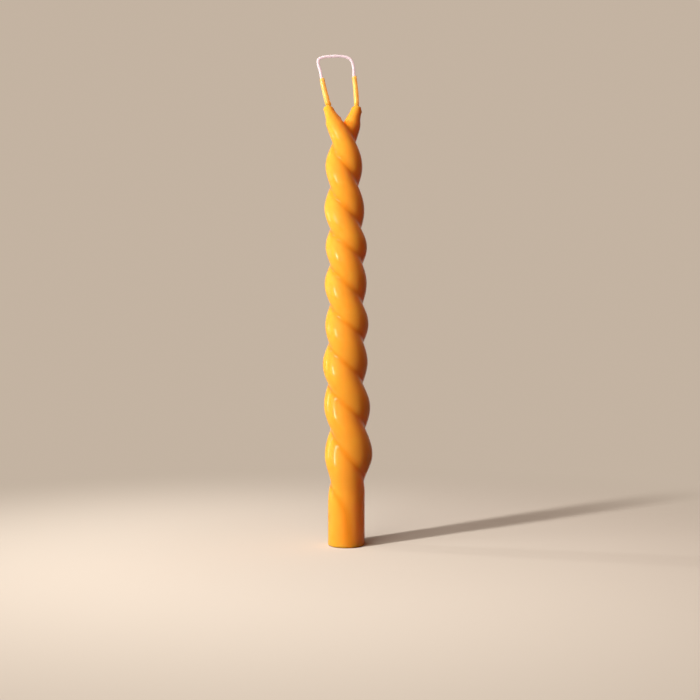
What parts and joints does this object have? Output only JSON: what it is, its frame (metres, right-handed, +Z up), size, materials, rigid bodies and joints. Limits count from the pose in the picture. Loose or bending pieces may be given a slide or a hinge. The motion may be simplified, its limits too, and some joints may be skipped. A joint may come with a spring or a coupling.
{
  "type": "twisted taper candle",
  "caption": "Twisted taper candle: dipped tapers wound round each other, joined at the top by a bare loop of their shared wick, on a round flat butt.",
  "frame": {"origin": "middle of the round butt, on the surface that it stands on", "axes": "+Z up the candle to the wick loop, -Y to the front, +X to the front's right; the wick loop lies in the XZ plane"},
  "size_m": [0.0337, 0.0287, 0.2942],
  "materials": {
    "wax_left": "dipped amber wax, softly glossy and translucent",
    "wax_right": "dipped amber wax, softly glossy and translucent",
    "cotton_wick": "braided cotton, lightly waxed, pale pinkish white"
  },
  "bodies": {
    "root": {"taper_left": "wax_left", "taper_right": "wax_right", "wick": "cotton_wick"}
  },
  "joints": []
}
